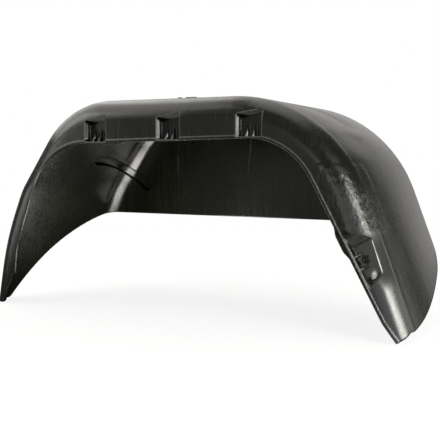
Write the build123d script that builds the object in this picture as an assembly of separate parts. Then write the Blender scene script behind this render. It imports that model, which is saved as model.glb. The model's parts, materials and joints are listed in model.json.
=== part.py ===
from build123d import *
import os
from math import atan2, cos, degrees, radians

# Wheel arch liner, moulded in one piece. X runs along the vehicle, Y inboard from the front skirt, and Z up.
# It is laid out from the level of the two skirt tips, midway between them, and moved at the end so that the
# middle crown screw hole is the origin.

# Overall sizes
SPAN = 740.0
CROWN = 360.0
DEPTH = 320.0
WALL = 2.5

# Arch line at the front, with its corners measured from half the span and from the crown
LEFT_KNEE_OUT = 17.0
LEFT_KNEE_DROP = 248.0
LEFT_FOOT_LEAN = 0.19
LEFT_KNEE_RADIUS = 500.0
LEFT_BEND_IN = 23.5
LEFT_BEND_DROP = 154.0
LEFT_BEND_RADIUS = 150.0
LEFT_SHOULDER_IN = 134.0
LEFT_SHOULDER_RADIUS = 165.0
RIGHT_SHOULDER_IN = 115.5
RIGHT_SHOULDER_RADIUS = 238.0
RIGHT_FOOT_OUT = 21.5

# Draft: how far the arch line has moved inwards where it meets the inner wall
DRAFT = 6.5

# Front roll, inner fillet and lip rim
ROLL_RADIUS = 38.0
INNER_FILLET = 28.0
RIM_WIDTH = 5.0
RIM_PROUD = 1.0

# Lip line of the wheel opening, with its corners measured from half the span and from the crown
LIP_TIP_IN = -4.0
LIP_TIP_HEIGHT = -6.0
LIP_TIP_RADIUS = 10.0
LIP_FLARE_IN = 23.0
LIP_FLARE_HEIGHT = 46.0
LIP_FLARE_RADIUS = 40.0
LIP_WAIST_IN = 28.0
LIP_WAIST_HEIGHT = 96.0
LIP_WAIST_RADIUS = 100.0
LIP_LEFT_IN = 98.0
LIP_LEFT_DROP = 76.5
LIP_LEFT_RADIUS = 125.0
LIP_RIGHT_IN = 170.0
LIP_RIGHT_DROP = 67.5
LIP_RIGHT_RADIUS = 120.0
LIP_TOE_IN = 21.0
LIP_TOE_HEIGHT = 22.0
LIP_TOE_RADIUS = 40.0
LIP_TOE_LEAN = 0.74

# Ends of the legs and the bottom of the inner wall
INNER_EDGE_HEIGHT = 144.0
LEFT_TIP_LENGTH = 50.0
LEFT_TIP_ROUND = 10.0
LEFT_END_RISE = 26.0
RIGHT_TIP_HEIGHT = -7.0
RIGHT_TOE_LENGTH = 24.0
RIGHT_TOE_HEIGHT = 8.5
RIGHT_END_SAG = 19.0
RIGHT_HEEL_SETBACK = 14.0
RIGHT_HEEL_HEIGHT = 92.0
RIGHT_HEEL_ROUND = 80.0

# Shallow tabs on the lip: one under the crown and one on the right leg
TAB_DROP = 4.0
TAB_RUN = 13.0
CROWN_TAB_X = -126.0
CROWN_TAB_LENGTH = 52.0
LEG_TAB_HEIGHT = 136.0
LEG_TAB_LENGTH = 52.0

# Crown screw pockets
POCKET_PITCH = 147.0
POCKET_SHIFT = -15.0
POCKET_WIDTH = 44.0
POCKET_DEPTH = 15.0
POCKET_HEIGHT = 39.0
POCKET_SLANT = 11.0
POCKET_SLOPE = 28.0
POCKET_DRAFT = 6.0
POCKET_ROUND = 2.5
GUSSET_GAP = 12.0
GUSSET_THICKNESS = 2.0
GUSSET_HEIGHT = 22.0
GUSSET_SETBACK = 1.5
CROWN_SCREW_RADIUS = 3.25
CROWN_SCREW_INSET = 8.0

# Screw pad on the right leg
PAD_HEIGHT = 103.5
PAD_LENGTH = 82.0
PAD_DEPTH = 14.0
PAD_FLOOR = 7.0
PAD_DRAFT = 49.0
PAD_ROUND = 4.0
PAD_GUSSET_GAP = 20.0
PAD_GUSSET_HEIGHT = 11.0
PAD_SCREW_HEIGHT = 104.0
PAD_SCREW_RISE = 11.0
PAD_SCREW_RADIUS = 2.75
PAD_SCREW_DEPTH = 4.0
PAD_BOSS_RADIUS = 5.5
PAD_BOSS_HEIGHT = 3.0

# Rounded channel across the left inner corner
CHANNEL_RADIUS = 142.0
CHANNEL_TURN = 52.0
CHANNEL_WIDTH = 16.0
CHANNEL_DEPTH = 6.0
CHANNEL_DROP = 98.0
CHANNEL_CORNER_IN = 47.0
CHANNEL_BACK = 73.0
CHANNEL_REACH = 110.0

# Tapered crease down the inner wall, and a fainter one left of it
CREASE_X = -21.0
CREASE_DROP = 30.0
CREASE_LENGTH = 105.0
CREASE_HEIGHT = 2.2
CREASE_LEAN = 5.7
FAINT_CREASE_X = -192.0
FAINT_CREASE_DROP = 95.0
FAINT_CREASE_LENGTH = 45.0
FAINT_CREASE_HEIGHT = 1.0
CREASE_TIP_SHARE = 0.2

# Low nibs on the crest of the crown
NIB_BACK = 42.0
NIB_WIDTH = 5.0
NIB_HEIGHT = 1.6
SHORT_NIB_X = -16.5
SHORT_NIB_LENGTH = 6.0
LONG_NIB_X = 5.0
LONG_NIB_LENGTH = 19.0

# Room for blanks and cutters to run past the faces they trim
PAST = 30.0
BELOW = -60.0

STANDING = (Align.CENTER, Align.CENTER, Align.MIN)
HALF = SPAN / 2
LIP_LEFT = (-HALF + LIP_LEFT_IN, CROWN - LIP_LEFT_DROP)
LIP_RIGHT = (HALF - LIP_RIGHT_IN, CROWN - LIP_RIGHT_DROP)
LIP_TOE = (HALF - LIP_TOE_IN, LIP_TOE_HEIGHT)


def inset_corners(corners, radii, inset):
    """Moves an open path to its right by inset, and returns its new corners and corner radii."""
    runs = []
    for start, end in zip(corners, corners[1:]):
        along = (Vector(*end) - Vector(*start)).normalized()
        runs.append((Vector(*start) + Vector(along.Y, -along.X) * inset, along))
    first, last = runs[0], runs[-1]
    moved = [first[0]]
    moved_radii = []
    for (point, along), (next_point, next_along), radius in zip(runs, runs[1:], radii):
        turn = along.cross(next_along).Z
        moved.append(point + along * ((next_point - point).cross(next_along).Z / turn))
        moved_radii.append(radius + inset if turn > 0 else radius - inset)
    moved.append(last[0] + last[1] * (Vector(*corners[-1]) - Vector(*corners[-2])).length)
    return moved, moved_radii


def arch_corners():
    """Corners of the arch line at the front, from the left foot over the crown to the right foot."""
    knee = (-HALF - LEFT_KNEE_OUT, CROWN - LEFT_KNEE_DROP)
    foot = (knee[0] - LEFT_FOOT_LEAN * (knee[1] - BELOW), BELOW)
    bend = (-HALF + LEFT_BEND_IN, CROWN - LEFT_BEND_DROP)
    left_shoulder = (-HALF + LEFT_SHOULDER_IN, CROWN)
    right_shoulder = (HALF - RIGHT_SHOULDER_IN, CROWN)
    lean = (RIGHT_FOOT_OUT + RIGHT_SHOULDER_IN) / CROWN
    right_foot = (right_shoulder[0] + lean * (CROWN - BELOW), BELOW)
    return [foot, knee, bend, left_shoulder, right_shoulder, right_foot]


def blank(inset):
    """Solid block of the arch with its draft, front roll and inner fillet, all moved inwards by inset."""
    radii = [LEFT_KNEE_RADIUS, LEFT_BEND_RADIUS, LEFT_SHOULDER_RADIUS, RIGHT_SHOULDER_RADIUS]
    points, rounds = inset_corners(arch_corners(), radii, inset)
    path = FilletPolyline(*points, radius=rounds)
    front = Plane.XZ.offset(-inset) * make_face([*path.edges(), Line(points[-1], points[0])])
    block = extrude(front, amount=-(DEPTH - 2 * inset))
    sides = block.faces().filter_by(Axis.Y, reverse=True)
    block = draft(sides, Plane.XZ, -degrees(atan2(DRAFT, DEPTH)))
    block = fillet(arch_edges(block.faces().sort_by(Axis.Y)[0]), ROLL_RADIUS - inset)
    return fillet(arch_edges(block.faces().sort_by(Axis.Y)[-1]), INNER_FILLET - inset)


def arch_edges(face):
    """Edges of an end face of a blank, without the one along the bottom."""
    return [edge for edge in face.edges() if edge.center().Z > BELOW + PAST]


def crown_site(x):
    """Plane in the skirt with its origin on the lip under the crown, x along the vehicle and y up."""
    share = (x - LIP_LEFT[0]) / (LIP_RIGHT[0] - LIP_LEFT[0])
    height = LIP_LEFT[1] + share * (LIP_RIGHT[1] - LIP_LEFT[1])
    return Plane((x, 0, height), x_dir=(1, 0, 0), z_dir=(0, -1, 0))


def leg_site(height):
    """Plane in the skirt with its origin on the right leg's lip, x down along it and y away from the opening."""
    share = (LIP_RIGHT[1] - height) / (LIP_RIGHT[1] - LIP_TOE[1])
    along = Vector(*LIP_TOE) - Vector(*LIP_RIGHT)
    point = Vector(*LIP_RIGHT) + along * share
    return Plane((point.X, 0, point.Y), x_dir=(along.X, 0, along.Y), z_dir=(0, -1, 0))


def lip_corners():
    """Corners of the lip line, from under the left tip over the opening to below the right toe."""
    tip = (-HALF + LIP_TIP_IN, LIP_TIP_HEIGHT)
    before_tip = (tip[0] - PAST, LIP_TIP_HEIGHT)
    flare = (-HALF + LIP_FLARE_IN, LIP_FLARE_HEIGHT)
    waist = (-HALF + LIP_WAIST_IN, LIP_WAIST_HEIGHT)
    end = (LIP_TOE[0] + LIP_TOE_LEAN * (LIP_TOE_HEIGHT - BELOW), BELOW)
    return [before_tip, tip, flare, waist, LIP_LEFT, LIP_RIGHT, LIP_TOE, end]


def opening(outset):
    """Cutter for the wheel opening, with the lip line moved outwards by outset."""
    radii = [
        LIP_TIP_RADIUS,
        LIP_FLARE_RADIUS,
        LIP_WAIST_RADIUS,
        LIP_LEFT_RADIUS,
        LIP_RIGHT_RADIUS,
        LIP_TOE_RADIUS,
    ]
    points, rounds = inset_corners(lip_corners(), radii, -outset)
    path = FilletPolyline(*points, radius=rounds)
    closing = Polyline(points[-1], (points[0].X, BELOW), points[0])
    face = Plane.XZ.offset(PAST) * make_face([*path.edges(), *closing.edges()])
    return extrude(face, amount=PAST + ROLL_RADIUS, dir=(0, 1, 0))


def lip_tab(site, length):
    """Shallow tab that hangs from the lip into the opening."""
    half = length / 2
    outline = Polyline(
        (-half, 0),
        (-half + TAB_RUN, -TAB_DROP),
        (half - TAB_RUN, -TAB_DROP),
        (half, 0),
        (half, TAB_DROP),
        (-half, TAB_DROP),
        close=True,
    )
    return extrude(site.offset(PAST) * make_face(outline), amount=-2 * PAST)


def left_end():
    """Cutter for the end of the left leg, which sweeps up from a narrow tip to the inner wall's edge."""
    start = (LEFT_TIP_LENGTH, LIP_TIP_HEIGHT)
    end = (DEPTH - 2 * WALL, INNER_EDGE_HEIGHT)
    sweep = SagittaArc(start, end, LEFT_END_RISE)
    closing = Polyline(
        end,
        (DEPTH + PAST, INNER_EDGE_HEIGHT),
        (DEPTH + PAST, BELOW - PAST),
        (-PAST, BELOW - PAST),
        (-PAST, LIP_TIP_HEIGHT),
        start,
    )
    face = make_face([sweep, *closing.edges()])
    face = fillet(face.vertices().sort_by_distance(start)[0], LEFT_TIP_ROUND)
    return extrude(Plane.YZ * face, amount=-SPAN)


def right_end():
    """Cutter for the end of the right leg, which curves up from a short toe to a rounded heel."""
    heel = DEPTH - RIGHT_HEEL_SETBACK
    slope = (RIGHT_TOE_HEIGHT - RIGHT_TIP_HEIGHT) / RIGHT_TOE_LENGTH
    start = (RIGHT_TOE_LENGTH, RIGHT_TOE_HEIGHT)
    end = (heel, RIGHT_HEEL_HEIGHT)
    sweep = SagittaArc(start, end, -RIGHT_END_SAG)
    closing = Polyline(
        end,
        (heel, INNER_EDGE_HEIGHT),
        (DEPTH + PAST, INNER_EDGE_HEIGHT),
        (DEPTH + PAST, BELOW - PAST),
        (-PAST, BELOW - PAST),
        (-PAST, RIGHT_TIP_HEIGHT - slope * PAST),
        start,
    )
    face = make_face([sweep, *closing.edges()])
    face = fillet(face.vertices().sort_by_distance(end)[0], RIGHT_HEEL_ROUND)
    return extrude(Plane.YZ * face, amount=SPAN)


def recess(site, outline, depth, wall_draft, ceiling_slope, corner_radius):
    """Cutter for a recess in the skirt, with its outline at the skirt and a flat back wall at depth.

    The side walls and the ceiling close in towards the back, and the two upper corners are rounded.
    """
    block = extrude(site.offset(PAST) * make_face(Polyline(*outline, close=True)), amount=-PAST - depth)
    across = block.faces().sort_by(Axis(site.origin, site.x_dir))
    block = draft([across[0], across[-1]], site, -wall_draft)
    block = draft(block.faces().sort_by(Axis(site.origin, site.y_dir))[-1], site, -ceiling_slope)
    ceiling = block.faces().sort_by(Axis(site.origin, site.y_dir))[-1]
    upper_corners = ceiling.edges().sort_by(Axis(site.origin, site.x_dir))
    return fillet([upper_corners[0], upper_corners[-1]], corner_radius)


def crown_recess(site, grow):
    """Cutter for a crown pocket, with its walls moved out by grow. The floor goes twice as far, past the lip."""
    half = POCKET_WIDTH / 2 + grow
    floor = WALL - 2 * grow
    left = POCKET_HEIGHT + grow / cos(radians(POCKET_SLOPE))
    right = left + POCKET_SLANT
    outline = [(-half, floor), (half, floor), (half, right), (-half, left)]
    return recess(site, outline, POCKET_DEPTH + grow, POCKET_DRAFT, POCKET_SLOPE, POCKET_ROUND + grow)


def pad_recess(site, grow):
    """Cutter for the pad on the right leg, with its walls moved out by grow. It is open to the roll."""
    half = PAD_LENGTH / 2 + grow / cos(radians(PAD_DRAFT))
    floor = PAD_FLOOR - grow
    top = PAD_FLOOR + ROLL_RADIUS + PAST
    outline = [(-half, floor), (half, floor), (half, top), (-half, top)]
    return recess(site, outline, PAD_DEPTH + grow, PAD_DRAFT, 0, PAD_ROUND + grow)


def gussets(site, floor, depth, height, gap):
    """Pair of triangular ribs that brace the floor of a recess against its back wall, let in by half a wall."""
    seat = WALL / 2
    outline = Polyline(
        (floor - seat, -GUSSET_SETBACK),
        (floor, -GUSSET_SETBACK),
        (floor + height, -depth),
        (floor + height, -depth - seat),
        (floor - seat, -depth - seat),
        close=True,
    )
    ribs = []
    for middle in (-gap / 2, gap / 2):
        start = site.from_local_coords(Vector(middle - GUSSET_THICKNESS / 2, 0, 0))
        section = Plane(start, x_dir=site.y_dir, z_dir=site.x_dir)
        ribs.append(extrude(section * make_face(outline), amount=GUSSET_THICKNESS))
    return ribs


def crown_screw_hole(site):
    """Cutter for the screw hole through the floor of a crown pocket, between its gussets."""
    middle = site.from_local_coords(Vector(0, WALL / 2, -CROWN_SCREW_INSET))
    return Plane(middle, z_dir=site.y_dir) * Cylinder(CROWN_SCREW_RADIUS, 3 * WALL)


def pad_boss(site):
    """Round boss on the back wall of the pad, let in by half a wall."""
    seat = site.offset(-PAD_DEPTH - WALL / 2) * Pos(0, PAD_FLOOR + PAD_SCREW_RISE)
    return seat * Cylinder(PAD_BOSS_RADIUS, PAD_BOSS_HEIGHT + WALL / 2, align=STANDING)


def pad_screw_hole(site):
    """Cutter for the blind screw hole in the boss, which leaves a skin of the pad's back wall behind it."""
    bottom = site.offset(PAD_BOSS_HEIGHT - PAD_DEPTH - PAD_SCREW_DEPTH) * Pos(0, PAD_FLOOR + PAD_SCREW_RISE)
    return bottom * Cylinder(PAD_SCREW_RADIUS, PAST, align=STANDING)


def channel(width):
    """Cutter for the rounded channel, seen along the diagonal into the left inner corner."""
    corner = (-HALF + CHANNEL_CORNER_IN, DEPTH, CROWN - CHANNEL_DROP)
    diagonal = Plane(corner, x_dir=(1, 1, 0), z_dir=(1, -1, 0))
    centre = (-CHANNEL_BACK, -CHANNEL_RADIUS - CHANNEL_WIDTH / 2)
    line = CenterArc(centre, CHANNEL_RADIUS, 90 - CHANNEL_TURN, CHANNEL_TURN)
    return extrude(diagonal.offset(-PAST) * SlotArc(line, width), amount=CHANNEL_REACH + PAST)


def crease(x, drop, length, height, lean):
    """Sharp ridge that tapers away down the inner wall, from its top at drop below the crown."""
    top = Pos(x, DEPTH - WALL, CROWN - drop) * Rot(0, lean, 0)
    seat = WALL / 2
    section = Polyline((-height - seat, seat), (height + seat, seat), (0, -height), close=True)
    tip = Pos(0, 0, -length) * scale(section, CREASE_TIP_SHARE)
    return top * loft([make_face(section), make_face(tip)], ruled=True)


def nib(x, length):
    """Low nib on the crest of the crown, let in by half a wall."""
    seat = Pos(x, NIB_BACK, CROWN - DRAFT * NIB_BACK / DEPTH - WALL / 2)
    return seat * Box(length, NIB_WIDTH, NIB_HEIGHT + WALL / 2, align=STANDING)


def liner():
    """The whole moulding, in the layout frame."""
    pockets = [crown_site(POCKET_SHIFT + step * POCKET_PITCH) for step in (-1, 0, 1)]
    pad = leg_site(PAD_HEIGHT)
    pad_screw = leg_site(PAD_SCREW_HEIGHT)

    outer = blank(0)
    outer += blank(-RIM_PROUD) & opening(RIM_WIDTH)
    outer += blank(-CHANNEL_DEPTH) & channel(CHANNEL_WIDTH + 2 * WALL)
    core = blank(WALL)
    core += blank(WALL - CHANNEL_DEPTH) & channel(CHANNEL_WIDTH)
    for site in pockets:
        outer -= crown_recess(site, 0)
        core -= crown_recess(site, WALL)
    outer -= pad_recess(pad, 0)
    core -= pad_recess(pad, WALL)

    wheel_opening = opening(0)
    wheel_opening -= lip_tab(crown_site(CROWN_TAB_X), CROWN_TAB_LENGTH)
    wheel_opening -= lip_tab(leg_site(LEG_TAB_HEIGHT), LEG_TAB_LENGTH)
    shell = outer - core - wheel_opening - left_end() - right_end()

    shell += crease(CREASE_X, CREASE_DROP, CREASE_LENGTH, CREASE_HEIGHT, CREASE_LEAN)
    shell += crease(FAINT_CREASE_X, FAINT_CREASE_DROP, FAINT_CREASE_LENGTH, FAINT_CREASE_HEIGHT, 0)
    shell += nib(SHORT_NIB_X, SHORT_NIB_LENGTH)
    shell += nib(LONG_NIB_X, LONG_NIB_LENGTH)
    for site in pockets:
        shell += gussets(site, WALL, POCKET_DEPTH, GUSSET_HEIGHT, GUSSET_GAP)
        shell -= crown_screw_hole(site)
    shell += gussets(pad_screw, PAD_FLOOR, PAD_DEPTH, PAD_GUSSET_HEIGHT, PAD_GUSSET_GAP)
    shell += pad_boss(pad_screw)
    return shell - pad_screw_hole(pad_screw)


datum = crown_site(POCKET_SHIFT).from_local_coords(Vector(0, WALL, -CROWN_SCREW_INSET))
shell = Pos(-datum) * liner()
os.makedirs("parts", exist_ok=True)
export_step(shell, "parts/liner_shell.step")
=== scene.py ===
"""Studio scene of a moulded wheel arch liner."""

from __future__ import annotations

import json
import logging
import math
from dataclasses import dataclass, field
from enum import Enum
from typing import Any, Union

import bpy
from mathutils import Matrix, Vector

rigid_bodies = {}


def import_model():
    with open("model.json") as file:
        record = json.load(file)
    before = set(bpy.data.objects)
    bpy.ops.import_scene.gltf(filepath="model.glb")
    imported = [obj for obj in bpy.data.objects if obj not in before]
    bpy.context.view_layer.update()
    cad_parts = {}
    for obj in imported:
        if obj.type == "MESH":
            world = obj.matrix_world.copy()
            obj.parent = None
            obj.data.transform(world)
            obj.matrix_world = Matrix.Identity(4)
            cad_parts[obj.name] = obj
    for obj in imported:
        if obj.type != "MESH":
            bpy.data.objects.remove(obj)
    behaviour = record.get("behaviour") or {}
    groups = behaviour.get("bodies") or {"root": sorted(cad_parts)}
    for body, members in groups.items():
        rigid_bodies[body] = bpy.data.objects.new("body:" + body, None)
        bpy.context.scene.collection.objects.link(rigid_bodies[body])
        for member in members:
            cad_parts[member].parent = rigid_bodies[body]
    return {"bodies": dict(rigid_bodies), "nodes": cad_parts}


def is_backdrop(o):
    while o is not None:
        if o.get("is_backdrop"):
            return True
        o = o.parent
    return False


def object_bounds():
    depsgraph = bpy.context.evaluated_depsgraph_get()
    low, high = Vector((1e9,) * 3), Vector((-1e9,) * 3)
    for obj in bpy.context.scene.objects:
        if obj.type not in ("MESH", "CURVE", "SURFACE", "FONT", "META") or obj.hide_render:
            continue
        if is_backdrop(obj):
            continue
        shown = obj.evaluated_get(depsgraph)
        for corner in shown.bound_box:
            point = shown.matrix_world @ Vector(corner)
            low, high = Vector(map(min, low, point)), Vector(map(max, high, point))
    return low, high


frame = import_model()

LOG = logging.getLogger("wheel_arch_liner")
PICTURE_PIXELS = 440.0
FILM_WIDTH = 36.0
LEVEL_TILT = 90.0
MM_PER_METRE = 1000.0
FLOOR_GAP = 0.0005
NOISE_ROUGHNESS = 0.5

Colour = tuple[float, float, float]
Point = tuple[float, float, float]
Band = tuple[float, float]
Shares = tuple[float, ...]

LENGTHWISE: Point = (1.0, 0.0, 0.0)
INBOARD: Point = (0.0, 1.0, 0.0)
UPWARD: Point = (0.0, 0.0, 1.0)
FRONTWARD: Point = (0.0, -1.0, 0.0)
DOWNWARD: Point = (0.0, 0.0, -1.0)
LEVEL_PLANE: Point = (1.0, 1.0, 0.0)

MIDDLE: Point = (0.0, 0.1, -0.1)
LEG_MIDDLE: Point = (0.3, 0.1, -0.1)
LEG_ROLL: Point = (0.37, 0.03, -0.12)
SHOULDER_ROLL: Point = (0.35, 0.02, -0.02)
ABOVE_CORNER_CARD: Point = (-0.125, 0.12, 0.0)

WHITE: Colour = (1.0, 1.0, 1.0)
CREAM: Colour = (1.0, 1.0, 0.93)
WARM: Colour = (1.0, 0.97, 0.94)
COOL: Colour = (0.86, 0.93, 1.0)


class Wire:
    """A shader socket that takes part in Python expressions."""

    def __init__(self, bench: NodeBench, socket: bpy.types.NodeSocket) -> None:
        """Keep the socket and the node tree it belongs to."""
        self.bench = bench
        self.socket = socket

    def _math(self, operation: str, first: Feed, second: Feed) -> Wire:
        """Add a Math node for one operation.

        Args:
            operation: The Math node's operation.
            first: The value on its first socket.
            second: The value on its second socket.

        Returns:
            The Math node's result.
        """
        return self.bench.node("ShaderNodeMath", {"operation": operation}, {0: first, 1: second}, "Value")

    def __add__(self, other: Feed) -> Wire:
        """Sum of the two."""
        return self._math("ADD", self, other)

    def __radd__(self, other: Feed) -> Wire:
        """Sum of the two, with the number first."""
        return self._math("ADD", other, self)

    def __sub__(self, other: Feed) -> Wire:
        """Difference of the two."""
        return self._math("SUBTRACT", self, other)

    def __rsub__(self, other: Feed) -> Wire:
        """Difference of the two, with the number first."""
        return self._math("SUBTRACT", other, self)

    def __mul__(self, other: Feed) -> Wire:
        """Product of the two."""
        return self._math("MULTIPLY", self, other)

    def __rmul__(self, other: Feed) -> Wire:
        """Product of the two, with the number first."""
        return self._math("MULTIPLY", other, self)


Feed = Union[Wire, float, int, tuple]


@dataclass(frozen=True)
class Zone:
    """A box on the moulding that a feature's shading is kept to.

    Args:
        middle: Middle of the box.
        half: Half of its sizes.
        soft_sides: Shares of the half sizes between which the box fades out.
    """

    middle: Point
    half: Point
    soft_sides: Band = (0.92, 1.08)


@dataclass(frozen=True)
class Pattern:
    """A noise pattern of the moulding's surface.

    Args:
        scale: Pattern repeats per metre along X, Y and Z.
        detail: Octaves of detail.
    """

    scale: Point
    detail: float


class NodeBench:
    """A node tree under construction."""

    def __init__(self, tree: bpy.types.NodeTree) -> None:
        """Empty the tree, ready for new nodes."""
        self.tree = tree
        self.laid: dict[Pattern, Wire] = {}
        tree.nodes.clear()

    @staticmethod
    def _pick(sockets: Any, key: Union[str, int]) -> bpy.types.NodeSocket:
        """Find a socket by its number, identifier or name.

        Args:
            sockets: The node's inputs or outputs.
            key: What to look for.

        Returns:
            The socket.
        """
        if isinstance(key, int):
            return sockets[key]
        for socket in sockets:
            if socket.identifier == key:
                return socket
        return sockets[key]

    def node(
        self,
        kind: str,
        settings: dict[str, Any] | None = None,
        feeds: dict[Union[str, int], Feed] | None = None,
        output: Union[str, int] = 0,
    ) -> Wire:
        """Add a node, set it up and feed its sockets.

        Args:
            kind: The node's type.
            settings: Its properties, set before its sockets.
            feeds: Values or links for its inputs.
            output: Which output to hand back.

        Returns:
            The chosen output.
        """
        made = self.tree.nodes.new(kind)
        for name, value in (settings or {}).items():
            setattr(made, name, value)
        for key, value in (feeds or {}).items():
            socket = self._pick(made.inputs, key)
            if isinstance(value, Wire):
                self.tree.links.new(value.socket, socket)
            else:
                socket.default_value = value
        return Wire(self, self._pick(made.outputs, output)) if made.outputs else Wire(self, made.inputs[0])

    def spot(self) -> Wire:
        """Object coordinates in metres."""
        return self.node("ShaderNodeTexCoord", output="Object")

    def noise(self, pattern: Pattern) -> Wire:
        """Cloudy noise between 0 and 1, laid once per pattern.

        Args:
            pattern: Its scale and detail.

        Returns:
            The noise value.
        """
        if pattern not in self.laid:
            feeds = {
                "Vector": self.vector("MULTIPLY", self.spot(), pattern.scale),
                "Scale": 1.0,
                "Detail": pattern.detail,
                "Roughness": NOISE_ROUGHNESS,
            }
            self.laid[pattern] = self.node("ShaderNodeTexNoise", {"noise_dimensions": "3D"}, feeds, "Fac")
        return self.laid[pattern]

    def window(self, value: Wire, band: Band) -> Wire:
        """Spread a band of values over 0 to 1, clipped and eased.

        Args:
            value: The value to spread.
            band: The values that become 0 and 1.

        Returns:
            The spread value.
        """
        low, high = band
        feeds = {"Value": value, "From Min": low, "From Max": high, "To Min": 0.0, "To Max": 1.0}
        return self.node("ShaderNodeMapRange", {"interpolation_type": "SMOOTHSTEP"}, feeds, "Result")

    def blend(self, share: Feed, first: Feed, second: Feed) -> Wire:
        """Mix two colours.

        Args:
            share: Share of the second colour.
            first: First colour.
            second: Second colour.

        Returns:
            The mixed colour.
        """
        feeds = {"Factor_Float": share, "A_Color": first, "B_Color": second}
        return self.node("ShaderNodeMix", {"data_type": "RGBA"}, feeds, "Result_Color")

    def vector(self, operation: str, first: Feed, second: Feed, output: str = "Vector") -> Wire:
        """Combine two vectors.

        Args:
            operation: The Vector Math node's operation.
            first: First vector.
            second: Second vector.
            output: Which output to hand back.

        Returns:
            The chosen output.
        """
        return self.node("ShaderNodeVectorMath", {"operation": operation}, {0: first, 1: second}, output)

    def along(self, vector: Wire, way: Feed) -> Wire:
        """Length of a vector along a direction."""
        return self.vector("DOT_PRODUCT", vector, way, "Value")

    def length(self, vector: Wire) -> Wire:
        """Length of a vector."""
        return self.node("ShaderNodeVectorMath", {"operation": "LENGTH"}, {0: vector}, "Value")

    def soft_normal(self, radius: float, samples: int) -> Wire:
        """Normal of the surface with its corners rounded.

        Args:
            radius: Radius of the rounding in metres.
            samples: Rays that look for corners.

        Returns:
            The rounded normal.
        """
        return self.node("ShaderNodeBevel", {"samples": samples}, {"Radius": radius}, "Normal")

    def within(self, zone: Zone) -> Wire:
        """Mask of a box with soft sides.

        Args:
            zone: The box.

        Returns:
            1 inside the box and 0 outside it.
        """
        apart = self.vector("DIVIDE", self.vector("SUBTRACT", self.spot(), zone.middle), zone.half)
        apart = self.node("ShaderNodeVectorMath", {"operation": "ABSOLUTE"}, {0: apart}, "Vector")
        mask: Feed = 1.0
        for axis in (LENGTHWISE, INBOARD, UPWARD):
            mask = (1.0 - self.window(self.along(apart, axis), zone.soft_sides)) * mask
        return mask

    def leaning(self, facing: Wire, share: Wire, way: Point) -> Wire:
        """Turn a normal towards a direction.

        Args:
            facing: Normal of the surface.
            share: Share of the turn.
            way: Full turn, as a vector that is added.

        Returns:
            The turned normal.
        """
        turn = self.node("ShaderNodeVectorMath", {"operation": "SCALE"}, {0: way, "Scale": share}, "Vector")
        turned = self.vector("ADD", facing, turn)
        return self.node("ShaderNodeVectorMath", {"operation": "NORMALIZE"}, {0: turned}, "Vector")

    def bump(self, height: Wire, depth: float, under: Wire) -> Wire:
        """Raise a surface by a height pattern.

        Args:
            height: Pattern between 0 and 1.
            depth: Height of the pattern in metres.
            under: Normal of the surface below it.

        Returns:
            The bumped normal.
        """
        feeds = {"Height": height, "Strength": 1.0, "Distance": depth, "Normal": under}
        return self.node("ShaderNodeBump", None, feeds, "Normal")


def opaque(colour: Colour) -> tuple[float, float, float, float]:
    """The colour with full alpha."""
    return (*colour, 1.0)


@dataclass(frozen=True)
class BarrelCrown:
    """The barrel over the wheel, slightly crowned behind its front roll.

    Args:
        axle: Point on the middle line of the barrel.
        across: Directions that lead away from the middle line.
        outside: Outward looks between which the crown sets in.
        uncovered: Outward looks between which the waviness sets in.
        rise: Depths between which the slope of the crown sets in.
        fall: Depths between which it runs out.
        lean: Slope just behind the roll.
    """

    axle: Point = (0.0, 0.0, -0.12)
    across: Point = (1.0, 0.0, 1.0)
    outside: Band = (0.0, 0.08)
    uncovered: Band = (-0.06, -0.01)
    rise: Band = (-0.008, 0.045)
    fall: Band = (0.03, 0.29)
    lean: float = 0.31

    def outwardness(self, bench: NodeBench, facing: Wire) -> Wire:
        """How far a face looks away from the wheel.

        Args:
            bench: Node tree that gets the nodes.
            facing: Normal of the surface.

        Returns:
            More than 0 outside the barrel and less than 0 inside it.
        """
        outward = bench.vector("MULTIPLY", bench.vector("SUBTRACT", bench.spot(), self.axle), self.across)
        return bench.along(facing, outward)

    def weathered(self, bench: NodeBench, facing: Wire) -> Wire:
        """Mask of all faces but those inside the barrel."""
        return bench.window(self.outwardness(bench, facing), self.uncovered)

    def turned(self, bench: NodeBench, facing: Wire) -> Wire:
        """Turn the outside of the barrel forwards behind its front roll.

        Args:
            bench: Node tree that gets the nodes.
            facing: Normal of the surface.

        Returns:
            The turned normal.
        """
        outside = bench.window(self.outwardness(bench, facing), self.outside)
        depth = bench.along(bench.spot(), INBOARD)
        rise = bench.window(depth, self.rise)
        fall = bench.window(depth, self.fall)
        return bench.leaning(facing, outside * rise * (1.0 - fall) * self.lean, FRONTWARD)


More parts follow.
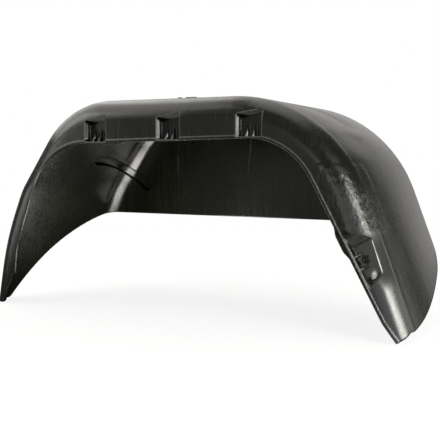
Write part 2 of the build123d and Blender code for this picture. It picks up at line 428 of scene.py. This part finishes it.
@dataclass(frozen=True)
class PocketMouths:
    """The drafted and rounded mouths of the crown pockets and of the screw pad.

    Args:
        sides: Box that holds the pockets' side walls.
        side_looks: Squared sideways looks between which a face counts as a side wall.
        side_lean: Slope by which the side walls open to the front.
        steep_end: Places along the liner between which the added slope sets in.
        steep_gain: Added share of the slope at the right pocket.
        ceilings: Box that holds the pockets' ceilings.
        ceiling_looks: Downward looks between which a face counts as a ceiling.
        ceiling_turn: Turn of a ceiling's normal.
        ramp: Box that holds the pad's upper ramp.
        ramp_turn: Turn of the ramp's normal.
    """

    sides: Zone = Zone((0.0, -0.005, 0.028), (0.2, 0.006, 0.026))
    side_looks: Band = (0.1, 0.4)
    side_lean: float = 0.8
    steep_end: Band = (0.08, 0.12)
    steep_gain: float = 0.14
    ceilings: Zone = Zone((0.0, 0.0, 0.034), (0.2, 0.012, 0.020))
    ceiling_looks: Band = (0.3, 0.6)
    ceiling_turn: Point = (-1.5, -3.2, 2.0)
    ramp: Zone = Zone((0.335, 0.001, -0.180), (0.05, 0.0075, 0.06))
    ramp_turn: Point = (0.0, -3.0, 1.3)

    def turned(self, bench: NodeBench, facing: Wire) -> Wire:
        """Open the walls of the pockets and the pad to the front.

        Args:
            bench: Node tree that gets the nodes.
            facing: Normal of the surface.

        Returns:
            The turned normal.
        """
        sideways = bench.along(facing, LENGTHWISE)
        downward = bench.window(bench.along(facing, DOWNWARD), self.ceiling_looks)
        sides = bench.window(sideways * sideways, self.side_looks) * bench.within(self.sides)
        steeper = bench.window(bench.along(bench.spot(), LENGTHWISE), self.steep_end)
        opening = (steeper * self.steep_gain + 1.0) * self.side_lean
        opened = bench.leaning(facing, sides * opening, FRONTWARD)
        rounded = bench.leaning(opened, downward * bench.within(self.ceilings), self.ceiling_turn)
        return bench.leaning(rounded, downward * bench.within(self.ramp), self.ramp_turn)


@dataclass(frozen=True)
class ScrewPad:
    """The pad on the right leg, with its dished floor and the duller roll beside it.

    Args:
        floor: Box that holds the pad's floor.
        floor_looks: Frontward looks between which a face counts as the floor.
        floor_turn: Turn of the floor's normal.
        low_end: Middle of the rounded lower end.
        low_end_shape: Stretch of the lower end per metre along X, Y and Z.
        low_end_fade: Stretched distances between which the lower end fades out.
        rim: Box that holds the rim line.
        rim_start: Point on the rim line.
        rim_across: Direction across the rim line.
        rim_fade: Squared distances between which the rim line fades out.
        bright_turn: Turn of the normal on the lower end and the rim line.
        beside: Box that holds the roll beside the pad.
        beside_looks: Sideways looks between which a face counts as the roll.
        beside_height: Height of the middle of the dull roll.
        beside_fade: Squared distances in height between which the roll's dullness fades out.
    """

    floor: Zone = Zone((0.336, 0.006, -0.180), (0.034, 0.0016, 0.040))
    floor_looks: Band = (0.9, 0.98)
    floor_turn: Point = (0.08, 0.0, 0.12)
    low_end: Point = (0.347, 0.004, -0.200)
    low_end_shape: Point = (110.0, 130.0, 80.0)
    low_end_fade: Band = (0.1, 1.1)
    rim: Zone = Zone((0.351, 0.006, -0.173), (0.02, 0.004, 0.023))
    rim_start: Point = (0.351, 0.0, -0.173)
    rim_across: Point = (1.0, 0.0, 0.348)
    rim_fade: Band = (0.0000003, 0.000002)
    bright_turn: Point = (3.1, -2.7, 0.95)
    beside: Zone = Zone((0.357, 0.010, -0.178), (0.030, 0.012, 0.050))
    beside_looks: Band = (0.45, 0.65)
    beside_height: float = -0.178
    beside_fade: Band = (0.0002, 0.0022)

    def turned(self, bench: NodeBench, facing: Wire) -> Wire:
        """Dish the floor a little, round its lower end and raise its rim.

        Args:
            bench: Node tree that gets the nodes.
            facing: Normal of the surface.

        Returns:
            The turned normal.
        """
        floor = bench.window(bench.along(facing, FRONTWARD), self.floor_looks) * bench.within(self.floor)
        dished = bench.leaning(facing, floor, self.floor_turn)
        spot = bench.spot()
        apart = bench.vector("MULTIPLY", bench.vector("SUBTRACT", spot, self.low_end), self.low_end_shape)
        low_end = 1.0 - bench.window(bench.length(apart), self.low_end_fade)
        aside = bench.along(bench.vector("SUBTRACT", spot, self.rim_start), self.rim_across)
        rim = (1.0 - bench.window(aside * aside, self.rim_fade)) * bench.within(self.rim)
        return bench.leaning(dished, low_end + rim, self.bright_turn)

    def dull_roll(self, bench: NodeBench, facing: Wire) -> Wire:
        """Mask of the roll beside the pad.

        Args:
            bench: Node tree that gets the nodes.
            facing: Normal of the surface.

        Returns:
            1 level with the pad, and less above and below it.
        """
        sideways = bench.window(bench.along(facing, LENGTHWISE), self.beside_looks)
        above = bench.along(bench.spot(), UPWARD) - self.beside_height
        level = 1.0 - bench.window(above * above, self.beside_fade)
        return bench.within(self.beside) * sideways * level


@dataclass(frozen=True)
class LeftCorner:
    """The wide left inner corner, whose fillet runs on into the inner wall.

    Args:
        looks: Frontward looks between which a face counts as the inner wall.
        depth: Depths between which the inner wall starts.
        line: Point on the corner's line.
        across: Direction across the corner's line.
        near: Distances from the line between which the corner runs out.
        turn: Turn of the normal at the line.
    """

    looks: Band = (0.3, 0.95)
    depth: Band = (0.28, 0.29)
    line: Point = (-0.305, 0.0, -0.089)
    across: Point = (1.0, 0.0, -0.67)
    near: Band = (-0.004, 0.07)
    turn: Point = (0.24, 0.0, -0.14)

    def turned(self, bench: NodeBench, facing: Wire) -> Wire:
        """Carry the fillet on into the inner wall.

        Args:
            bench: Node tree that gets the nodes.
            facing: Normal of the surface.

        Returns:
            The turned normal.
        """
        spot = bench.spot()
        wall = bench.window(bench.along(facing, FRONTWARD), self.looks)
        inboard = bench.window(bench.along(spot, INBOARD), self.depth)
        aside = bench.along(bench.vector("SUBTRACT", spot, self.line), self.across)
        near = 1.0 - bench.window(aside, self.near)
        return bench.leaning(facing, wall * inboard * near, self.turn)


@dataclass(frozen=True)
class PaintedEdgeHighlight:
    """A painted highlight along the front edges of the lip, the pockets and the pad: a paler colour where
    the edges catch the light.

    Args:
        reach: How far from an edge the rubbed strip goes, in metres.
        samples: Rays that look for edges.
        sharpness: Bends of the surface between which it counts as an edge.
        front: Box that holds the edges with the painted highlight.
        mouths: Box that holds the pockets' mouths.
        shaded_looks: Sideways looks between which a mouth's right edge ends.
        shaded_loss: Share of the painted highlight that the mouths' shaded right edges lack.
        colour: Colour of the painted edge highlight.
        share: Most of the colour that shows.
    """

    reach: float = 0.0035
    samples: int = 8
    sharpness: Band = (0.01, 0.15)
    front: Zone = Zone((0.12, -0.007, -0.12), (0.31, 0.0055, 0.2))
    mouths: Zone = Zone((0.0, -0.007, 0.0325), (0.2, 0.0055, 0.0275))
    shaded_looks: Band = (-0.3, -0.1)
    shaded_loss: float = 0.85
    colour: Colour = (0.34, 0.335, 0.32)
    share: float = 0.38

    def mask(self, bench: NodeBench) -> Wire:
        """Mask of the painted highlight strips along the edges.

        Args:
            bench: Node tree that gets the nodes.

        Returns:
            1 on an edge and 0 away from it.
        """
        flat = bench.node("ShaderNodeNewGeometry", output="Normal")
        rounded = bench.soft_normal(self.reach, self.samples)
        bend = 1.0 - bench.along(flat, rounded)
        shaded = 1.0 - bench.window(bench.along(rounded, LENGTHWISE), self.shaded_looks)
        kept = 1.0 - bench.within(self.mouths) * shaded * self.shaded_loss
        # Painted highlight: strongest on sharp front edges, weaker on the mouths' shaded right edges.
        return bench.window(bend, self.sharpness) * bench.within(self.front) * kept


@dataclass(frozen=True)
class SurfacePatterns:
    """The noise patterns of the moulding and how they are mixed.

    Args:
        clouds: Broad dusty clouds.
        streaks: Streaks along the mould's draw.
        specks: Fine specks.
        grain: Mould grain.
        ripples: Waviness.
        patches: Where the waviness is strong.
        dents: Crumpled patch on the right leg.
        dust_mix: Shares of clouds, streaks and specks in the haze.
        dust_band: Values between which the haze sets in.
        dull_mix: Shares of clouds, streaks and specks in the dullness.
        dull_band: Values between which the dullness sets in.
        patch_band: Values between which a patch sets in.
        calm: Share of the waviness that is left between the patches.
        grain_mix: Shares of grain and streaks in the finest bumps.
        dented_leg: Box that holds the crumpled patch.
    """

    clouds: Pattern = Pattern((7.0, 7.0, 7.0), 4.0)
    streaks: Pattern = Pattern((210.0, 150.0, 9.0), 3.0)
    specks: Pattern = Pattern((330.0, 330.0, 330.0), 2.0)
    grain: Pattern = Pattern((1100.0, 1100.0, 1100.0), 2.0)
    ripples: Pattern = Pattern((62.0, 62.0, 44.0), 2.0)
    patches: Pattern = Pattern((11.0, 11.0, 11.0), 1.0)
    dents: Pattern = Pattern((120.0, 120.0, 90.0), 1.5)
    dust_mix: Shares = (0.6, 0.32, 0.08)
    dust_band: Band = (0.42, 0.72)
    dull_mix: Shares = (0.55, 0.35, 0.1)
    dull_band: Band = (0.3, 0.7)
    patch_band: Band = (0.38, 0.68)
    calm: float = 0.2
    grain_mix: Shares = (0.7, 0.3)
    dented_leg: Zone = Zone((0.305, 0.02, -0.09), (0.06, 0.05, 0.05))

    def stains(self, bench: NodeBench, mix: Shares, band: Band) -> Wire:
        """Mix clouds, streaks and specks.

        Args:
            bench: Node tree that gets the nodes.
            mix: Their shares.
            band: Mixed values that become 0 and 1.

        Returns:
            The mixed pattern.
        """
        cloudy, streaky, speckled = mix
        mixed = bench.noise(self.clouds) * cloudy + bench.noise(self.streaks) * streaky
        return bench.window(mixed + bench.noise(self.specks) * speckled, band)

    def waves(self, bench: NodeBench) -> Wire:
        """Waviness that comes and goes in patches."""
        patches = bench.window(bench.noise(self.patches), self.patch_band)
        return bench.noise(self.ripples) * (patches * (1.0 - self.calm) + self.calm)

    def crumples(self, bench: NodeBench) -> Wire:
        """Dents of the crumpled patch."""
        return bench.noise(self.dents) * bench.within(self.dented_leg)

    def fine_grain(self, bench: NodeBench) -> Wire:
        """Mould grain with draw streaks."""
        grainy, streaky = self.grain_mix
        return bench.noise(self.grain) * grainy + bench.noise(self.streaks) * streaky


@dataclass(frozen=True)
class MouldedPlastic:
    """Black moulded plastic with mould grain, draw streaks and faint waviness.

    Args:
        name: Name of the finish.
        body: Main colour.
        haze: Colour where the surface is dusty; on the edge plastic it is the paler side of the painted edge
            highlight.
        haze_share: Most of the haze that shows.
        roughness: Lowest roughness.
        roughness_swing: Rise of the roughness where it is dullest.
        ripple_depth: Height of the waviness in metres.
        edge_soft: Radius that moulded corners seem rounded to, in metres.
        pad_dull: Rise of the roughness on the roll beside the screw pad.
        dent_depth: Depth of the crumpled patch on the right leg in metres.
        grain_depth: Height of the mould grain in metres.
        edge_samples: Rays that look for moulded corners.
        gloss_index: Index of refraction of the plastic.
        patterns: Its noise patterns.
        barrel: The barrel's crown.
        mouths: The mouths of the pockets.
        pad: The screw pad.
        corner: The left inner corner.
        edges: The painted highlight on the front edges.
    """

    name: str
    body: Colour
    haze: Colour
    haze_share: float
    roughness: float
    roughness_swing: float
    ripple_depth: float
    edge_soft: float
    pad_dull: float
    dent_depth: float = 0.0009
    grain_depth: float = 0.000003
    edge_samples: int = 6
    gloss_index: float = 1.5
    patterns: SurfacePatterns = SurfacePatterns()
    barrel: BarrelCrown = BarrelCrown()
    mouths: PocketMouths = PocketMouths()
    pad: ScrewPad = ScrewPad()
    corner: LeftCorner = LeftCorner()
    edges: PaintedEdgeHighlight = PaintedEdgeHighlight()

    def colour(self, bench: NodeBench) -> Wire:
        """Black with dust haze, and a painted highlight on the front edges.

        Args:
            bench: Node tree that gets the nodes.

        Returns:
            The colour.
        """
        dust = self.patterns.stains(bench, self.patterns.dust_mix, self.patterns.dust_band)
        black = bench.blend(dust * self.haze_share, opaque(self.body), opaque(self.haze))
        # Painted highlight: paler colour on the front edges, less on the mouths' shaded right edges.
        return bench.blend(self.edges.mask(bench) * self.edges.share, black, opaque(self.edges.colour))

    def gloss(self, bench: NodeBench, soft: Wire) -> Wire:
        """Roughness with dull stains and a dull roll beside the pad.

        Args:
            bench: Node tree that gets the nodes.
            soft: Normal with rounded corners.

        Returns:
            The roughness.
        """
        dull = self.patterns.stains(bench, self.patterns.dull_mix, self.patterns.dull_band)
        beside_pad = self.pad.dull_roll(bench, soft)
        return dull * self.roughness_swing + beside_pad * self.pad_dull + self.roughness

    def relief(self, bench: NodeBench, soft: Wire) -> Wire:
        """Normal with the softer forms of the moulding, its waviness, dents and grain.

        Args:
            bench: Node tree that gets the nodes.
            soft: Normal with rounded corners.

        Returns:
            The normal.
        """
        formed = soft
        for feature in (self.mouths, self.pad, self.corner, self.barrel):
            formed = feature.turned(bench, formed)
        waves = self.patterns.waves(bench) * self.barrel.weathered(bench, soft)
        wavy = bench.bump(waves, self.ripple_depth, formed)
        dented = bench.bump(self.patterns.crumples(bench), self.dent_depth, wavy)
        return bench.bump(self.patterns.fine_grain(bench), self.grain_depth, dented)

    def material(self) -> bpy.types.Material:
        """Build the finish as a node material.

        Returns:
            The material.
        """
        made = bpy.data.materials.new(self.name)
        made.use_nodes = True
        made.diffuse_color = opaque(self.body)
        bench = NodeBench(made.node_tree)
        soft = bench.soft_normal(self.edge_soft, self.edge_samples)
        feeds = {
            "Base Color": self.colour(bench),
            "Roughness": self.gloss(bench, soft),
            "Normal": self.relief(bench, soft),
            "IOR": self.gloss_index,
        }
        shader = bench.node("ShaderNodeBsdfPrincipled", None, feeds, "BSDF")
        bench.node("ShaderNodeOutputMaterial", None, {"Surface": shader})
        return made


SHELL_PLASTIC = MouldedPlastic(
    name="black_moulded_plastic",
    body=(0.0036, 0.0041, 0.0020),
    haze=(0.0120, 0.0128, 0.0070),
    haze_share=0.45,
    roughness=0.20,
    roughness_swing=0.12,
    ripple_depth=0.00042,
    edge_soft=0.003,
    pad_dull=0.5,
)

# Paler plastic on the rounded edges: a painted edge highlight, lighter than the black shell.
EDGE_HIGHLIGHT_PLASTIC = MouldedPlastic(
    name="painted_highlight_edge",
    body=(0.09, 0.089, 0.084),
    haze=(0.20, 0.195, 0.185),
    haze_share=0.7,
    roughness=0.28,
    roughness_swing=0.16,
    ripple_depth=0.0002,
    edge_soft=0.0015,
    pad_dull=0.0,
)


@dataclass
class LinerShell:
    """The one-piece moulded shell.

    Args:
        node: Name of the shell in the frame.
        weld: Distance at which split seams are joined, in metres.
        edge_round: Rounding of the moulded edges, in metres.
        edge_steps: Steps across the rounding.
        sharp_angle: Least angle of an edge that is rounded, in degrees.
        edge_slot: Slot of the paler finish on the rounded edges, a painted edge highlight.
        face_weight: How strongly large faces set the shading beside them.
    """

    node: str = "liner_shell"
    weld: float = 0.00001
    edge_round: float = 0.0011
    edge_steps: int = 2
    sharp_angle: float = 28.0
    edge_slot: int = 1
    face_weight: int = 50

    def build(self) -> bpy.types.Object:
        """Soften the shell's edges without touching its mesh.

        Returns:
            The shell.
        """
        shell = frame["nodes"][self.node]
        seam = shell.modifiers.new("join_seams", "WELD")
        seam.merge_threshold = self.weld
        rounding = shell.modifiers.new("round_edges", "BEVEL")
        rounding.width = self.edge_round
        rounding.segments = self.edge_steps
        rounding.limit_method = "ANGLE"
        rounding.angle_limit = math.radians(self.sharp_angle)
        rounding.use_clamp_overlap = True
        rounding.material = self.edge_slot
        shading = shell.modifiers.new("even_shading", "WEIGHTED_NORMAL")
        shading.mode = "FACE_AREA"
        shading.weight = self.face_weight
        shading.keep_sharp = False
        LOG.info("shell: edges rounded by %.1f mm", MM_PER_METRE * self.edge_round)
        return shell

    def dress(self, shell: bpy.types.Object) -> None:
        """Give the faces their black plastic and the rounded edges the paler plastic of a painted edge
        highlight.

        Args:
            shell: The shell.
        """
        finishes = [SHELL_PLASTIC.material(), EDGE_HIGHLIGHT_PLASTIC.material()]
        while len(shell.material_slots) < len(finishes):
            shell.data.materials.append(None)
        for slot, finish in zip(shell.material_slots, finishes):
            slot.material = finish
        LOG.info("shell: dressed in %s", ", ".join(finish.name for finish in finishes))


@dataclass
class StudioFloor:
    """A plain pale floor that fades out into the white surround.

    Args:
        level: Height of the floor.
        radius: Radius of the floor in metres.
        fade: Shares of the radius between which the floor fades out.
        colour: Colour of the floor.
        flooded: Share of its brightness that no shadow takes away, as on an overlit studio sweep.
        mirrored: Colour of the floor where the glossy shell mirrors it.
        segments: Corners of its rim.
    """

    level: float
    radius: float = 2.2
    fade: Band = (0.45, 0.97)
    colour: Colour = (0.92, 0.92, 0.92)
    flooded: float = 0.84
    mirrored: Colour = (0.05, 0.05, 0.05)
    segments: int = 96

    def build(self) -> bpy.types.Object:
        """Lay the round floor.

        Returns:
            The floor.
        """
        turn = 2.0 * math.pi / self.segments
        rim = [
            (self.radius * math.cos(turn * step), self.radius * math.sin(turn * step), self.level)
            for step in range(self.segments)
        ]
        mesh = bpy.data.meshes.new("studio_floor")
        mesh.from_pydata(rim, [], [list(range(self.segments))])
        floor = bpy.data.objects.new("studio_floor", mesh)
        bpy.context.scene.collection.objects.link(floor)
        floor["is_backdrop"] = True
        LOG.info("floor: laid at %.3f m", self.level)
        return floor

    def dress(self, floor: bpy.types.Object) -> None:
        """Give the floor its matt pale finish and its fade.

        Args:
            floor: The floor.
        """
        made = bpy.data.materials.new("pale_floor")
        made.use_nodes = True
        bench = NodeBench(made.node_tree)
        away = bench.length(bench.vector("MULTIPLY", bench.spot(), LEVEL_PLANE))
        start, end = self.fade
        gone = bench.window(away, (start * self.radius, end * self.radius))
        seen = bench.node("ShaderNodeLightPath", output="Is Camera Ray")
        colour = bench.blend(seen, opaque(self.mirrored), opaque(self.colour))
        matt = bench.node("ShaderNodeBsdfDiffuse", None, {"Color": colour}, "BSDF")
        bright = bench.node("ShaderNodeEmission", None, {"Color": opaque(WHITE)}, "Emission")
        lit = bench.node("ShaderNodeMixShader", None, {0: seen * self.flooded, 1: matt, 2: bright}, "Shader")
        clear = bench.node("ShaderNodeBsdfTransparent", None, None, "BSDF")
        shader = bench.node("ShaderNodeMixShader", None, {0: gone, 1: lit, 2: clear}, "Shader")
        bench.node("ShaderNodeOutputMaterial", None, {"Surface": shader})
        floor.data.materials.append(made)


class LightRole(Enum):
    """What a light does in the studio."""

    MAIN = "main_softbox"
    BACK = "back_softbox"
    TOP = "top_softbox"
    FRONT_HIGH = "front_left_softbox"
    FRONT_LOW = "front_left_card"
    FILL_LEFT = "front_left_fill"
    FILL = "front_fill"
    FILL_RIGHT = "front_right_fill"
    RIGHT = "right_softbox"
    RIGHT_HIGH = "high_right_softbox"
    LEG = "leg_strip"
    SHOULDER = "shoulder_strip"
    SIDE = "side_card"
    REAR = "rear_panel"
    REAR_HIGH = "high_rear_softbox"
    REAR_LEFT = "rear_left_panel"
    CORNER = "corner_card"


@dataclass
class SoftLight:
    """A rectangular soft light.

    Args:
        role: What the light does.
        place: Middle of the light.
        aim: Point that it faces.
        width: Width in metres.
        height: Height in metres.
        glow: Brightness of its face, where 1 is paper white.
        colour: Colour of the light.
    """

    role: LightRole
    place: Point
    aim: Point
    width: float
    height: float
    glow: float
    colour: Colour = CREAM

    def build(self) -> bpy.types.Object:
        """Hang the light.

        Returns:
            The light.
        """
        lamp = bpy.data.lights.new(self.role.value, "AREA")
        lamp.shape = "RECTANGLE"
        lamp.size = self.width
        lamp.size_y = self.height
        lamp.energy = self.glow * math.pi * self.width * self.height
        lamp.color = self.colour
        light = bpy.data.objects.new(self.role.value, lamp)
        light.location = self.place
        facing = Vector(self.aim) - Vector(self.place)
        light.rotation_euler = facing.to_track_quat("-Z", "Y").to_euler()
        light.visible_camera = False
        bpy.context.scene.collection.objects.link(light)
        LOG.info("light: %s", self.role.value)
        return light


@dataclass
class WhiteSurround:
    """White studio air, paler to the camera than to the object.

    Args:
        ambient: Brightness that reaches the object from all around.
    """

    ambient: float = 0.14

    def build(self) -> None:
        """Set the world up."""
        world = bpy.data.worlds.new("white_surround")
        world.use_nodes = True
        bench = NodeBench(world.node_tree)
        seen = bench.node("ShaderNodeLightPath", output="Is Camera Ray")
        feeds = {"Color": opaque(WHITE), "Strength": seen * (1.0 - self.ambient) + self.ambient}
        air = bench.node("ShaderNodeBackground", None, feeds, "Background")
        bench.node("ShaderNodeOutputWorld", None, {"Surface": air})
        bpy.context.scene.world = world
        bpy.context.scene.view_settings.view_transform = "Standard"
        LOG.info("surround: ambient %.2f", self.ambient)


@dataclass
class PictureCamera:
    """The camera at the photograph's angle.

    Args:
        eye: Place of the lens.
        turn: Turn of the view from straight inboard, in degrees.
        dip: Downward tilt of the view, in degrees.
        focal_pixels: Focal length in pixels of the picture.
        clip: Nearest and farthest distance that is seen, in metres.
    """

    eye: Point = (0.7447, -1.1795, -0.0280)
    turn: float = 28.924
    dip: float = 4.268
    focal_pixels: float = 850.0
    clip: Band = (0.02, 60.0)

    def build(self) -> bpy.types.Object:
        """Set the camera up and make it the scene's camera.

        Returns:
            The camera.
        """
        optics = bpy.data.cameras.new("picture_camera")
        optics.sensor_width = FILM_WIDTH
        optics.sensor_fit = "HORIZONTAL"
        optics.lens = self.focal_pixels * FILM_WIDTH / PICTURE_PIXELS
        optics.clip_start, optics.clip_end = self.clip
        camera = bpy.data.objects.new("picture_camera", optics)
        camera.location = self.eye
        camera.rotation_euler = (math.radians(LEVEL_TILT - self.dip), 0.0, math.radians(self.turn))
        bpy.context.scene.collection.objects.link(camera)
        bpy.context.scene.camera = camera
        LOG.info("camera: %.1f mm lens", optics.lens)
        return camera


@dataclass
class Studio:
    """Lights, surround and camera.

    Args:
        lights: The soft lights.
        surround: The white surround.
        camera: The camera.
    """

    lights: list[SoftLight] = field(
        default_factory=lambda: [
            SoftLight(LightRole.MAIN, (-1.55, 0.05, 1.30), MIDDLE, 2.4, 1.8, 2.0, WARM),
            SoftLight(LightRole.BACK, (-0.45, 1.25, 1.60), MIDDLE, 2.4, 1.6, 1.6, WARM),
            SoftLight(LightRole.TOP, (0.10, 0.10, 2.00), MIDDLE, 1.2, 1.2, 1.7),
            SoftLight(LightRole.FRONT_HIGH, (-1.50, -0.90, 0.85), MIDDLE, 1.1, 0.9, 2.3),
            SoftLight(LightRole.FRONT_LOW, (-1.70, -1.02, 0.02), MIDDLE, 1.1, 0.6, 2.1),
            SoftLight(LightRole.FILL_LEFT, (-0.80, -2.05, 0.10), MIDDLE, 1.0, 1.0, 0.2),
            SoftLight(LightRole.FILL, (0.25, -2.20, 0.10), MIDDLE, 1.0, 1.0, 1.6),
            SoftLight(LightRole.FILL_RIGHT, (1.25, -1.70, 0.10), MIDDLE, 0.9, 0.9, 1.75, COOL),
            SoftLight(LightRole.RIGHT, (1.72, -0.88, 0.08), MIDDLE, 1.0, 1.0, 1.2, COOL),
            SoftLight(LightRole.RIGHT_HIGH, (1.50, -0.80, 1.00), MIDDLE, 1.0, 0.9, 1.0, COOL),
            SoftLight(LightRole.LEG, (1.569, -0.406, 0.128), LEG_ROLL, 0.60, 0.34, 27.0),
            SoftLight(LightRole.SHOULDER, (1.341, -0.601, 0.470), SHOULDER_ROLL, 0.40, 0.28, 12.0),
            SoftLight(LightRole.SIDE, (2.00, 0.62, 0.15), LEG_MIDDLE, 1.2, 0.9, 2.6),
            SoftLight(LightRole.REAR, (0.85, 1.95, 0.42), LEG_MIDDLE, 1.4, 1.2, 0.8, WARM),
            SoftLight(LightRole.REAR_HIGH, (0.865, 1.54, 1.23), LEG_MIDDLE, 0.61, 0.6, 1.4, WARM),
            SoftLight(LightRole.REAR_LEFT, (-0.50, 2.05, 0.35), MIDDLE, 1.4, 1.2, 0.8, WARM),
            SoftLight(LightRole.CORNER, (-0.125, 0.12, -0.285), ABOVE_CORNER_CARD, 0.11, 0.28, 16.0, WARM),
        ]
    )
    surround: WhiteSurround = field(default_factory=WhiteSurround)
    camera: PictureCamera = field(default_factory=PictureCamera)

    def build(self) -> None:
        """Put the studio together."""
        self.surround.build()
        for light in self.lights:
            light.build()
        self.camera.build()


def corners(box: Any) -> list[list[float]]:
    """The two corners of a box as plain numbers."""
    return [[float(value) for value in corner] for corner in box]


def clear_leftovers() -> None:
    """Take away whatever the empty file came with."""
    kept = {*frame["nodes"].values(), *frame["bodies"].values()}
    for leftover in [thing for thing in bpy.data.objects if thing not in kept]:
        bpy.data.objects.remove(leftover, do_unlink=True)


def main() -> None:
    """Build the scene, with the floor set just under the model's lowest point."""
    logging.basicConfig(level=logging.INFO, format="%(name)s: %(message)s")
    clear_leftovers()
    cad_box = corners(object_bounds())
    liner = LinerShell()
    shell = liner.build()
    liner.dress(shell)
    floor = StudioFloor(level=cad_box[0][2] - FLOOR_GAP)
    floor.dress(floor.build())
    Studio().build()
    LOG.info("scene: done")


if __name__ == "__main__":
    main()
